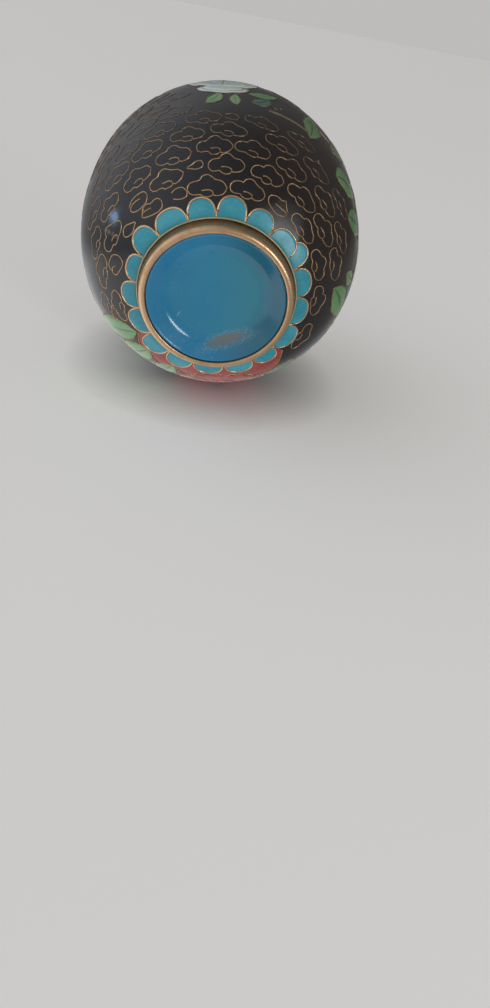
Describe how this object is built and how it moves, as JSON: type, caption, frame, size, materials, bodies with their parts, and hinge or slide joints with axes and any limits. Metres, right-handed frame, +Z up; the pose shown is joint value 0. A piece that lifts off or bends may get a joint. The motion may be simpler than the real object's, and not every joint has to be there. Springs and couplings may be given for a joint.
{
  "type": "miniature cloisonne jar",
  "caption": "Small round jar with a short flared neck, a gilt foot ring and a gilt mouth rim, in black enamel with wire clouds, flowers and leaves",
  "frame": {"origin": "centre of the foot ring's underside, on the surface that the jar stands on", "axes": "+Z is up along the jar's axis of turning; +X and +Y are level, with the cloud side towards -Y and +X"},
  "size_m": [0.0448, 0.0448, 0.046],
  "materials": {
    "black_enamel": "glossy black enamel, a little brown where it is thin",
    "gilt_metal": "polished copper-coloured gilt, finely scratched",
    "gilt_wire": "gilt wire ground flush with the enamel",
    "turquoise_enamel": "glossy turquoise and blue enamel with fine specks",
    "red_enamel": "glossy red enamel",
    "green_enamel": "glossy green enamel, shaded from leaf to leaf",
    "white_enamel": "glossy pale enamel with a green tint"
  },
  "bodies": {
    "root": {"body": "black_enamel", "foot_ring": "gilt_metal", "mouth_rim": "gilt_metal"}
  },
  "joints": []
}
